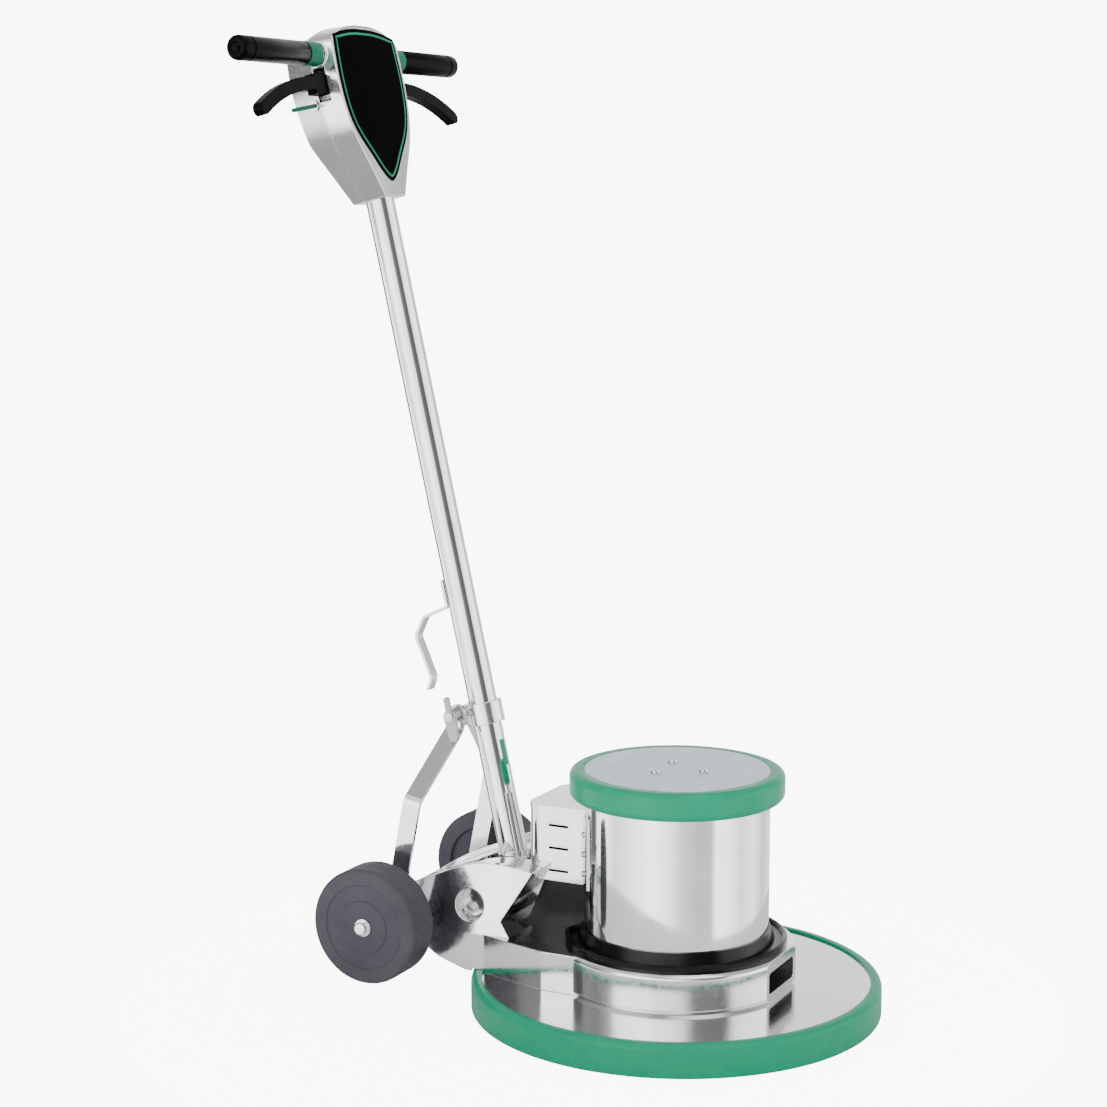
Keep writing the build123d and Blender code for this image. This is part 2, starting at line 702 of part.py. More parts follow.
for side, name in ((-1, "right"), (1, "left")):
    inner, outer = side * wheel_inner_x, side * wheel_outer_x
    bore = axle_radius + running_gap
    with BuildPart() as tyre:
        with BuildSketch(axle_section):
            with BuildLine():
                Polyline(
                    (inner, wheel_core_radius), (inner, wheel_radius), (outer, wheel_radius),
                    (outer, wheel_core_radius), close=True,
                )
            section = make_face()
            fillet(section.vertices().group_by(Axis.Y)[-1], 6)
        revolve(axis=axle_line)
    tyre.part.label = f"tyre_{name}"
    export_step(tyre.part, f"parts/tyre_{name}.step")

    with BuildPart() as wheel_core:
        web = side * 5.0
        face = side * 1.2
        ring_of(
            (
                (inner, bore), (inner, 24), (inner + web, 24), (inner + web, 52), (inner, 54),
                (inner, wheel_core_radius), (outer, wheel_core_radius), (outer, 56.5),
                (outer - face, 55.5), (outer - face, 35), (outer, 34), (outer, bore),
            ),
            axle_line, axle_section,
        )
    wheel_core.part.label = f"wheel_core_{name}"
    export_step(wheel_core.part, f"parts/wheel_core_{name}.step")

# ---- handle foot --------------------------------------------------------------------------
pivot_point = Vector(0, pivot_y, pivot_z) - tube_foot
pivot_n = pivot_point.dot(rearward)
pivot_s = pivot_point.dot(handle_axis)
socket_radius = 21.5
with BuildPart() as handle_knuckle:
    rod(tube_plane(-30), socket_radius, 30)
    with BuildSketch(side_plane(-knuckle_half_width + 3)):
        with Locations((pivot_n, pivot_s)):
            Circle(14)
        with Locations((2, -22)):
            Rectangle(34, 14)
        make_hull()
    extrude(amount=2 * knuckle_half_width - 6)
    rod(across(-knuckle_half_width, pivot_y, pivot_z), 14, 2 * knuckle_half_width)
    rod(tube_plane(-22), tube_radius, 40, mode=Mode.SUBTRACT)
    rod(across(-60, pivot_y, pivot_z), pivot_bolt_radius + running_gap, 120, mode=Mode.SUBTRACT)
handle_knuckle.part.label = "handle_knuckle"
export_step(handle_knuckle.part, "parts/handle_knuckle.step")

with BuildPart() as pivot_bolt:
    rod(across(-pocket_floor_x, pivot_y, pivot_z), pivot_bolt_radius, 2 * pocket_floor_x)
    for side in (-1, 1):
        head_face = across(side * pocket_floor_x, pivot_y, pivot_z)
        hex_bar(head_face, 6.4, side * 7)
        rod(head_face, pivot_bolt_radius, side * 9)
pivot_bolt.part.label = "pivot_bolt"
export_step(pivot_bolt.part, "parts/pivot_bolt.step")

with BuildPart() as handle_tube:
    pipe(tube_plane(-22), tube_radius, tube_radius - tube_wall, tube_top + 22)
handle_tube.part.label = "handle_tube"
export_step(handle_tube.part, "parts/handle_tube.step")

# ---- clamp and brace ----------------------------------------------------------------------
clamp_bottom, clamp_top = 175.0, 204.0
clamp_radius = 24.5
ear_gap = 4.0
ear_face_x = 22.5
clamp_pin_radius = 4.0
with BuildPart() as clamp_collar:
    clamp_height = clamp_top - clamp_bottom
    rod(tube_plane(clamp_bottom), clamp_radius, clamp_height)
    for side in (-1, 1):
        block(tube_plane(clamp_bottom + 2), (side * ear_gap, 14), (side * 16, 35), clamp_height - 4)
        rod(side_plane(side * ear_gap, clamp_n, clamp_s), 8, side * (ear_face_x - ear_gap))
    rod(tube_plane(clamp_bottom - 5), tube_radius + running_gap, 50, mode=Mode.SUBTRACT)
    block(tube_plane(clamp_bottom - 5), (-ear_gap, 5), (ear_gap, 60), 50, mode=Mode.SUBTRACT)
    rod(side_plane(-60, clamp_n, clamp_s), clamp_pin_radius, 120, mode=Mode.SUBTRACT)
clamp_collar.part.label = "clamp_collar"
export_step(clamp_collar.part, "parts/clamp_collar.step")

strap_top_x = 25.5
washer_thickness = 1.8
washer_x = strap_top_x + strap_thickness / 2 + 0.4
lever_inner_x, lever_outer_x = -43.5, -49.5
with BuildPart() as clamp_pin:
    rod(side_plane(lever_outer_x - 2, clamp_n, clamp_s), clamp_pin_radius, washer_x + 11 - lever_outer_x)
    for side in (-1, 1):
        rod(side_plane(side * washer_x, clamp_n, clamp_s), 11.5, side * washer_thickness)
    hex_bar(side_plane(washer_x + washer_thickness, clamp_n, clamp_s), 6.5, 6)
    rod(side_plane(lever_outer_x - 0.2, clamp_n, clamp_s), 6, -1.8)
clamp_pin.part.label = "clamp_pin"
export_step(clamp_pin.part, "parts/clamp_pin.step")

with BuildPart() as clamp_lever:
    # round hub on the pin, wide paddle below it and narrow tail above
    rod(side_plane(-washer_x - washer_thickness - 0.2, clamp_n, clamp_s), 8.5,
        lever_outer_x + washer_x + washer_thickness + 0.2)
    with BuildSketch(side_plane(lever_outer_x, clamp_n, clamp_s)):
        Circle(8.5)
        with Locations((0, -28)):
            Circle(6.5)
        make_hull()
        with Locations((0, 14)):
            SlotCenterToCenter(17, 7, rotation=90)
    extrude(amount=lever_inner_x - lever_outer_x)
    rod(side_plane(-60, clamp_n, clamp_s), clamp_pin_radius + running_gap, 120, mode=Mode.SUBTRACT)
clamp_lever.part.label = "clamp_lever"
export_step(clamp_lever.part, "parts/clamp_lever.step")

clamp_point = on_handle(clamp_s, 0, clamp_n)
axle_point = Vector(0, axle_y, axle_z)
strap_run = clamp_point - axle_point
strap_axis = strap_run.normalized()
strap_normal = Vector(1, 0, 0).cross(strap_axis)
strap_plane = Plane(origin=axle_point, x_dir=(1, 0, 0), z_dir=tuple(strap_normal))
strap_half_width = 12.5
pin_slot_length = 18.0
with BuildPart() as brace_straps:
    up = 1 if (strap_plane.y_dir.dot(strap_axis)) > 0 else -1
    reach = strap_run.length * up
    for side in (-1, 1):
        with BuildSketch(strap_plane.offset(-strap_half_width)):
            with BuildLine():
                FilletPolyline(
                    (side * strap_foot_x, -20 * up), (side * strap_foot_x, 0.60 * reach),
                    (side * strap_top_x, reach - 22 * up), (side * strap_top_x, reach + 20 * up),
                    radius=14,
                )
                offset(amount=strap_thickness / 2, side=Side.BOTH)
            make_face()
        extrude(amount=2 * strap_half_width)
    strap_middle = (clamp_point + axle_point) * 0.5 - Vector(130, 0, 0)
    with BuildSketch(Plane(origin=strap_middle, x_dir=tuple(strap_axis), z_dir=(1, 0, 0))):
        SlotCenterToCenter(strap_run.length, 2 * strap_half_width)
    extrude(amount=260, mode=Mode.INTERSECT)
    rod(across(-130, axle_y, axle_z), axle_radius + running_gap, 260, mode=Mode.SUBTRACT)
    with BuildSketch(Plane(origin=clamp_point - Vector(60, 0, 0), x_dir=(0, 1, 0), z_dir=(1, 0, 0))):
        with Locations((2.2, 0)):
            SlotOverall(pin_slot_length, 2 * clamp_pin_radius + 2.6)
    extrude(amount=120, mode=Mode.SUBTRACT)
brace_straps.part.label = "brace_straps"
export_step(brace_straps.part, "parts/brace_straps.step")

# ---- cord hook ----------------------------------------------------------------------------
hook_thickness = 4.0
hook_half_width = 8.0
hook_screw_places = (350.0, 364.0)
with BuildPart() as cord_hook:
    with BuildSketch(side_plane(-hook_half_width)):
        with BuildLine():
            FilletPolyline(
                (tube_radius + 2, 372), (tube_radius + 2, 337), (60, 329), (78, 305), (67, 246), (76, 232),
                radius=(3, 14, 12, 14),
            )
            offset(amount=hook_thickness / 2, side=Side.BOTH)
        make_face()
    extrude(amount=2 * hook_half_width)
    for s in hook_screw_places:
        rod(face_plane(tube_radius + 10, 0, s), 2.6, 20, mode=Mode.SUBTRACT)
cord_hook.part.label = "cord_hook"
export_step(cord_hook.part, "parts/cord_hook.step")

with BuildPart() as hook_screws:
    for s in hook_screw_places:
        outward = Plane(origin=on_handle(s, 0, tube_radius + 4), x_dir=(1, 0, 0), z_dir=tuple(rearward))
        with BuildSketch(outward):
            Circle(5)
        extrude(amount=3, taper=25)
        rod(outward, 2.6, -4)
hook_screws.part.label = "hook_screws"
export_step(hook_screws.part, "parts/hook_screws.step")

# ---- head ---------------------------------------------------------------------------------
head_bottom, head_arch = 882.0, 1113.0
front_n, parting_n, rear_n = -25.0, 8.0, 52.0
head_wall = 4.0
front_draft, rear_draft = 4.0, 9.0


def shield(n, inset=0.0):
    """Outline of the head: narrow at the tube, widest near the grips, arched on top."""
    with BuildSketch(face_plane(n)) as outline:
        with BuildLine():
            flank = Spline(
                (27 - inset / 2, head_bottom), (50 - inset, 920), (76 - inset, 968), (87 - inset, 1025),
                (86 - inset, 1092 - inset), tangents=((0.5, 0.9), (-0.04, 1)),
            )
            Line((0, head_bottom), flank @ 0)
            ThreePointArc(flank @ 1, (45 - inset / 2, 1109 - inset), (0, head_arch - inset))
            mirror(about=Plane.YZ)
        make_face()
        corners = outline.vertices().filter_by(lambda corner: corner.Y > 1070 and abs(corner.X) > 20)
        fillet(corners, 12)
    return outline.sketch


def head_profile(inset):
    """Side outline of the head: flat face, deep shoulders, bottom drawn in to the tube."""
    with BuildSketch(side_plane(-100)) as profile:
        with BuildLine():
            Polyline(
                (front_n + inset, head_bottom + inset), (front_n + inset, head_arch + 20),
                (rear_n - 4 - inset, head_arch + 20), (rear_n - inset, 1040), (rear_n - 4 - inset, 965),
                (26 - inset, head_bottom + inset), close=True,
            )
        make_face()
    return profile.sketch


def head_half(end_n, inset, draft):
    """One half of the head, grown from the parting plane to its front or rear face."""
    loft([shield(parting_n, inset), shield(end_n, inset + draft)], ruled=True)
    extrude(head_profile(inset), amount=200, mode=Mode.INTERSECT)


with BuildPart() as front_core:
    head_half(front_n, head_wall, front_draft)

with BuildPart() as rear_core:
    head_half(rear_n, head_wall, rear_draft)

badge_recess = 1.5


def badge_outline(n, inset=0.0):
    """Outline of the badge: arched top, widest below it, drawn in to a rounded foot."""
    with BuildSketch(face_plane(n)) as outline:
        with BuildLine():
            flank = Spline(
                (0, 902 + inset), (35 - 0.7 * inset, 934 + 0.7 * inset), (67 - inset, 975),
                (79 - inset, 1035), (75 - inset, 1095 - inset), tangents=((1, 0.4), (-0.12, 1)),
            )
            ThreePointArc(flank @ 1, (40 - inset / 2, 1102 - inset), (0, 1104 - inset))
            mirror(about=Plane.YZ)
        make_face()
        fillet(outline.vertices().group_by(Axis.Y)[0], 10)
    return outline.sketch


trigger_pin_x, trigger_pin_s = 58.0, 1036.0
trigger_pin_radius = 3.0
pin_rear_n, pin_length = 40.0, 58.0
trigger_depth = 7.0
bar_radius = 12.7
lock_s, lock_n = 1014.0, 19.0
lock_tilt = radians(8)


def head_openings():
    """Cuts shared by both shells: tube socket, handlebar, trigger windows and trigger pins."""
    rod(tube_plane(870), tube_radius, tube_top - 870, mode=Mode.SUBTRACT)
    rod(side_plane(-120, 0, grip_s), bar_radius, 240, mode=Mode.SUBTRACT)
    for side in (-1, 1):
        block(side_plane(side * 70), (-trigger_depth - 1.5, 1012), (trigger_depth + 1.5, 1056), side * 40,
              mode=Mode.SUBTRACT)
        pin_bore = face_plane(pin_rear_n, side * trigger_pin_x, trigger_pin_s)
        rod(pin_bore, trigger_pin_radius, pin_length, mode=Mode.SUBTRACT)


with BuildPart() as head_front_shell:
    head_half(front_n, 0, front_draft)
    soft_edges = head_front_shell.faces().sort_by(Axis.Y)[0].edges()
    fillet(soft_edges, 3)
    add(front_core.part, mode=Mode.SUBTRACT)
    rod(tube_plane(head_bottom + 1), tube_radius + 5, 50)
    for side in (-1, 1):
        rod(side_plane(side * 72, 0, grip_s), bar_radius + 4, side * 15)
        rod(face_plane(parting_n, side * trigger_pin_x, trigger_pin_s), 7, 33)
    block(face_plane(parting_n), (-75, 990), (75, 1060), parting_n + trigger_depth + 1, mode=Mode.SUBTRACT)
    extrude(badge_outline(front_n), amount=-badge_recess, mode=Mode.SUBTRACT)
    head_openings()
    block(side_plane(-150), (parting_n, 800), (parting_n + 90, 1200), 300, mode=Mode.SUBTRACT)
head_front_shell.part.label = "head_front_shell"
export_step(head_front_shell.part, "parts/head_front_shell.step")

gland_radius, gland_s = 9.0, 985.0
gland_start_n = 42.0
with BuildPart() as head_rear_shell:
    head_half(rear_n, 0, rear_draft)
    add(rear_core.part, mode=Mode.SUBTRACT)
    rod(tube_plane(head_bottom + 1), tube_radius + 5, 50)
    for side in (-1, 1):
        rod(side_plane(side * 72, 0, grip_s), bar_radius + 4, side * 15)
        rod(face_plane(rear_n - 2, side * trigger_pin_x, trigger_pin_s), 7, rear_n - 2 - parting_n)
    head_openings()
    lock_axis = Vector(-cos(lock_tilt), 0, 0) - handle_axis * sin(lock_tilt)
    lock_inner = on_handle(lock_s, -60, lock_n) - lock_axis * 6
    lock_plane = Plane(origin=lock_inner, z_dir=tuple(lock_axis))
    rod(lock_plane, 6, 50, mode=Mode.SUBTRACT)
    rod(face_plane(rear_n + 20, 0, gland_s), gland_radius, 40, mode=Mode.SUBTRACT)
    block(side_plane(-150), (parting_n - 90, 800), (parting_n, 1200), 300, mode=Mode.SUBTRACT)
head_rear_shell.part.label = "head_rear_shell"
export_step(head_rear_shell.part, "parts/head_rear_shell.step")

with BuildPart() as badge:
    extrude(badge_outline(front_n + badge_recess, 0.3), amount=badge_recess + 0.6)
badge.part.label = "badge"
export_step(badge.part, "parts/badge.step")

with BuildPart() as handlebar:
    pipe(side_plane(-grip_end_x + 6, 0, grip_s), bar_radius, bar_radius - 2, 2 * grip_end_x - 12)
handlebar.part.label = "handlebar"
export_step(handlebar.part, "parts/handlebar.step")

grip_radius = 15.7
sleeve_start, sleeve_end = 92.0, 118.0
with BuildPart() as grips:
    for side in (-1, 1):
        rod(side_plane(side * sleeve_end, 0, grip_s), grip_radius, side * (grip_end_x - sleeve_end))
        rod(side_plane(side * (sleeve_end - 1), 0, grip_s), bar_radius,
            side * (grip_end_x - 5 - sleeve_end), mode=Mode.SUBTRACT)
    tips = grips.edges().filter_by(GeomType.CIRCLE).group_by(Axis.X)
    fillet(tips[0] + tips[-1], 4)
grips.part.label = "grips"
export_step(grips.part, "parts/grips.step")

with BuildPart() as grip_sleeves:
    for side in (-1, 1):
        pipe(side_plane(side * sleeve_start, 0, grip_s), grip_radius + 0.3, bar_radius,
             side * (sleeve_end - sleeve_start))
grip_sleeves.part.label = "grip_sleeves"
export_step(grip_sleeves.part, "parts/grip_sleeves.step")

# ---- triggers, slider, switch and lock-out ------------------------------------------------
nose_x, nose_radius = 9.0, 4.0
blade_half_width = 8.5
for side, name in ((-1, "right"), (1, "left")):
    with BuildPart() as trigger:
        # banana-shaped blade under the grip, with its square root block
        with BuildSketch(face_plane(trigger_depth)):
            with BuildLine():
                ThreePointArc((side * 104, 1034), (side * 176, 1024), (side * 238, 998))
                offset(amount=blade_half_width, side=Side.BOTH)
            make_face()
        extrude(amount=2 * trigger_depth)
        block(face_plane(trigger_depth), (side * 82, 1020), (side * 112, 1046), 2 * trigger_depth)
        # inner arm past the pivot, ending in the nose that works the slider
        with BuildSketch(face_plane(5)):
            with Locations((side * trigger_pin_x, trigger_pin_s)):
                Circle(8)
            with Locations((side * 84, trigger_pin_s)):
                Rectangle(6, 14)
            make_hull()
        extrude(amount=10)
        block(face_plane(5), (side * nose_x, trigger_pin_s - 3), (side * 56, trigger_pin_s + 3), 10)
        rod(face_plane(5, side * nose_x, trigger_pin_s), nose_radius, 10)
        bore = face_plane(20, side * trigger_pin_x, trigger_pin_s)
        rod(bore, trigger_pin_radius + running_gap, 40, mode=Mode.SUBTRACT)
    trigger.part.label = f"trigger_{name}"
    export_step(trigger.part, f"parts/trigger_{name}.step")

with BuildPart() as trigger_pins:
    for side in (-1, 1):
        rod(face_plane(pin_rear_n, side * trigger_pin_x, trigger_pin_s), trigger_pin_radius, pin_length)
trigger_pins.part.label = "trigger_pins"
export_step(trigger_pins.part, "parts/trigger_pins.step")

slider_bottom = 992.0
with BuildPart() as trigger_slider:
    block(face_plane(6.5), (-14, slider_bottom), (14, 1046), 13)
    for side in (-1, 1):
        block(face_plane(9), (side * 4, trigger_pin_s - 4.4), (side * 20, trigger_pin_s + 4.4), 18,
              mode=Mode.SUBTRACT)
    rod(tube_plane(slider_bottom - 20), 3.5, 21)
trigger_slider.part.label = "trigger_slider"
export_step(trigger_slider.part, "parts/trigger_slider.step")

switch_top = 964.0
with BuildPart() as power_switch:
    block(face_plane(12), (-17, switch_top - 28), (17, switch_top), 24)
    rod(tube_plane(switch_top - 28), 3.6, 40, mode=Mode.SUBTRACT)
power_switch.part.label = "power_switch"
export_step(power_switch.part, "parts/power_switch.step")

with BuildPart() as return_spring:
    spring_height = slider_bottom - switch_top - 2.4
    with BuildLine():
        coil = Helix(
            pitch=spring_height / 5, height=spring_height, radius=7,
            center=tuple(on_handle(switch_top + 1.2)), direction=tuple(handle_axis),
        )
    with BuildSketch(Plane(origin=coil @ 0, z_dir=coil % 0)):
        Circle(0.9)
    sweep(path=coil)
return_spring.part.label = "return_spring"
export_step(return_spring.part, "parts/return_spring.step")

lock_radius = 2.8
lock_length = 84.0
grommet_flange = 32.0
with BuildPart() as lock_pin:
    rod(lock_plane, lock_radius, lock_length)
    far_tip = lock_pin.faces().sort_by(Axis.X)[0].edges()
    fillet(far_tip, 2)
lock_pin.part.label = "lock_pin"
export_step(lock_pin.part, "parts/lock_pin.step")

with BuildPart() as lock_grommet:
    pipe(lock_plane.offset(grommet_flange - 9), 6, lock_radius + running_gap, 9)
    pipe(lock_plane.offset(grommet_flange), 7.5, lock_radius + running_gap, 2)
lock_grommet.part.label = "lock_grommet"
export_step(lock_grommet.part, "parts/lock_grommet.step")

cord_bore = 5.0
with BuildPart() as cord_gland:
    gland_out = Plane(
        origin=on_handle(gland_s, 0, gland_start_n), x_dir=(1, 0, 0), z_dir=tuple(rearward),
    )
    pipe(gland_out, gland_radius, cord_bore, 8)
    with BuildSketch(gland_out.offset(8)):
        RegularPolygon(11, 6, major_radius=False)
        Circle(cord_bore, mode=Mode.SUBTRACT)
    extrude(amount=6)
    pipe(gland_out.offset(14), 8, cord_bore, 8)
cord_gland.part.label = "cord_gland"
export_step(cord_gland.part, "parts/cord_gland.step")
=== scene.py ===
"""Looks of the rotary floor machine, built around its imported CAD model. Metres, shared frame."""
import json
from math import atan2, cos, pi, radians, sin, tan

import bpy
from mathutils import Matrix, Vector


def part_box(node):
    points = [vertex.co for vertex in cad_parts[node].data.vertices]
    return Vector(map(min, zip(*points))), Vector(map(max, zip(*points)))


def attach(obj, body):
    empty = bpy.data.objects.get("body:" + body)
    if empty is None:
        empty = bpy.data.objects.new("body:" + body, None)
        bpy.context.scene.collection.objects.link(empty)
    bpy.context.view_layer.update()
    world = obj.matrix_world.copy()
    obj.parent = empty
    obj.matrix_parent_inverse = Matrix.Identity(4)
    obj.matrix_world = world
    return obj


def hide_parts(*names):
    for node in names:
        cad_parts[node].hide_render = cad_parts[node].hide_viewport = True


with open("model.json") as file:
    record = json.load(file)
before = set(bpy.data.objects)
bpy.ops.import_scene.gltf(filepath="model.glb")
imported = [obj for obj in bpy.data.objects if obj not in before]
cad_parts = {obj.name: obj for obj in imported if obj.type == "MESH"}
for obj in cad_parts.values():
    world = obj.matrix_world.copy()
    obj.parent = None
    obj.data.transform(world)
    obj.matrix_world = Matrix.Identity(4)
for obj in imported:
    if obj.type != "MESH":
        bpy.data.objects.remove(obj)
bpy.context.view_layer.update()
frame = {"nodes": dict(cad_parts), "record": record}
nodes = frame["nodes"]
slot_of = {entry["node"]: entry["material_slot"] for entry in frame["record"]["subparts"]}

# ---- directions of the leaning handle -------------------------------------------------------
LEAN = radians(12.9)
UP_HANDLE = Vector((0, sin(LEAN), cos(LEAN)))
REARWARD = Vector((0, cos(LEAN), -sin(LEAN)))
TUBE_FOOT = Vector((0, 0.2385, 0.1784))
ACROSS = Vector((1, 0, 0))
UPRIGHT = Vector((0, 0, 1))


def on_handle(s, x=0.0, n=0.0):
    """Point s up the handle, x sideways and n behind its axis."""
    return TUBE_FOOT + UP_HANDLE * s + REARWARD * n + ACROSS * x


# ---- node helpers ---------------------------------------------------------------------------
class Shader:
    """A material under construction, with short calls for the nodes it needs."""

    def __init__(self, name, **values):
        self.material = bpy.data.materials.new(name)
        self.material.use_nodes = True
        self.tree = self.material.node_tree
        self.surface = self.tree.nodes["Principled BSDF"]
        for key, value in values.items():
            self.surface.inputs[key.replace("_", " ")].default_value = value
        self.place = self.tree.nodes.new("ShaderNodeTexCoord").outputs["Object"]
        self.normal = None

    def node(self, kind, **settings):
        made = self.tree.nodes.new("ShaderNode" + kind)
        for key, value in settings.items():
            setattr(made, key, value)
        return made

    def link(self, source, target):
        self.tree.links.new(source, target)

    def scaled(self, scale):
        """Object coordinates stretched by a scale per axis."""
        mapping = self.node("Mapping")
        mapping.inputs["Scale"].default_value = scale
        self.link(self.place, mapping.inputs["Vector"])
        return mapping.outputs["Vector"]

    def noise(self, scale, detail=3.0, stretch=(1, 1, 1)):
        made = self.node("TexNoise")
        made.inputs["Scale"].default_value = scale
        made.inputs["Detail"].default_value = detail
        self.link(self.scaled(stretch), made.inputs["Vector"])
        return made.outputs["Fac"]

    def radius(self, stretch=(1, 1, 0)):
        """Distance from the shared frame's upright axis."""
        made = self.node("VectorMath", operation="LENGTH")
        self.link(self.scaled(stretch), made.inputs[0])
        return made.outputs["Value"]

    def rings(self, scale):
        """Fine turning marks around the upright axis."""
        made = self.node("TexNoise", noise_dimensions="1D")
        made.inputs["Scale"].default_value = 1.0
        made.inputs["Detail"].default_value = 4.0
        times = self.node("Math", operation="MULTIPLY")
        times.inputs[1].default_value = scale
        self.link(self.radius(), times.inputs[0])
        self.link(times.outputs[0], made.inputs["W"])
        return made.outputs["Fac"]

    def span(self, value, low, high):
        """Value from 0..1 brought to low..high."""
        made = self.node("MapRange")
        made.inputs["From Min"].default_value = 0.3
        made.inputs["From Max"].default_value = 0.7
        made.inputs["To Min"].default_value = low
        made.inputs["To Max"].default_value = high
        self.link(value, made.inputs["Value"])
        return made.outputs["Result"]

    def rough(self, value, low, high):
        self.link(self.span(value, low, high), self.surface.inputs["Roughness"])

    def tint(self, value, dark, light):
        """Base colour mixed between two tones by a value."""
        ramp = self.node("ValToRGB")
        ramp.color_ramp.elements[0].position = 0.3
        ramp.color_ramp.elements[1].position = 0.7
        ramp.color_ramp.elements[0].color = (*dark, 1)
        ramp.color_ramp.elements[1].color = (*light, 1)
        self.link(value, ramp.inputs["Fac"])
        self.link(ramp.outputs["Color"], self.surface.inputs["Base Color"])

    def soften(self, radius):
        """Rounded look on every sharp edge."""
        made = self.node("Bevel", samples=6)
        made.inputs["Radius"].default_value = radius
        self.normal = made.outputs["Normal"]
        self.link(self.normal, self.surface.inputs["Normal"])

    def bump(self, value, depth, strength=1.0):
        made = self.node("Bump")
        made.inputs["Distance"].default_value = depth
        made.inputs["Strength"].default_value = strength
        self.link(value, made.inputs["Height"])
        if self.normal:
            self.link(self.normal, made.inputs["Normal"])
        self.normal = made.outputs["Normal"]
        self.link(self.normal, self.surface.inputs["Normal"])


def metal(name, dark, light, smooth, rough, scale=18.0, stretch=(1, 1, 1), edge=0.0, wave=0.0, mark=0.0):
    """Metal with cloudy tone, uneven gloss, faint waves and fine marks along one direction."""
    made = Shader(name, Metallic=1.0)
    made.tint(made.noise(scale, 2.0), dark, light)
    made.rough(made.noise(scale * 9, 4.0, stretch), smooth, rough)
    if edge:
        made.soften(edge)
    if wave:
        made.bump(made.noise(9.0, 1.0), wave)
    if mark:
        made.bump(made.noise(260.0, 2.0, stretch), mark)
    return made.material


def moulded(name, dark, light, smooth, rough, grain=420.0, depth=0.00004, edge=0.0, coat=0.0, gloss=0.5):
    """Plastic or rubber with a fine grain."""
    made = Shader(name)
    made.surface.inputs["Specular IOR Level"].default_value = gloss
    made.surface.inputs["Coat Weight"].default_value = coat
    made.surface.inputs["Coat Roughness"].default_value = 0.12
    made.tint(made.noise(24.0, 3.0), dark, light)
    made.rough(made.noise(60.0, 3.0), smooth, rough)
    if edge:
        made.soften(edge)
    made.bump(made.noise(grain, 2.0), depth)
    return made.material


def grey(value, blue=1.0):
    return (value, value, value * blue)


spun = Shader("spun_apron", Metallic=1.0)
spun.tint(spun.noise(5.0, 2.0), grey(0.72, 1.01), grey(0.80, 1.02))
spun.rough(spun.rings(900.0), 0.09, 0.2)
spun.bump(spun.rings(350.0), 0.00003)
spun.bump(spun.noise(7.0, 1.0), 0.0009)

brushed = Shader("brushed_top", Metallic=0.85)
brushed.tint(brushed.noise(40.0, 4.0, (0.15, 6, 1)), (0.50, 0.55, 0.61), (0.60, 0.65, 0.71))
brushed.rough(brushed.noise(90.0, 4.0, (0.1, 8, 1)), 0.3, 0.42)
brushed.bump(brushed.noise(300.0, 3.0, (0.05, 4, 1)), 0.00002)

copper = Shader("copper_winding", Metallic=0.9)
copper.tint(copper.noise(300.0, 2.0, (1, 1, 6)), (0.42, 0.16, 0.06), (0.62, 0.27, 0.12))
copper.rough(copper.noise(80.0), 0.25, 0.45)
copper.bump(copper.noise(500.0, 1.0, (1, 1, 5)), 0.0002)

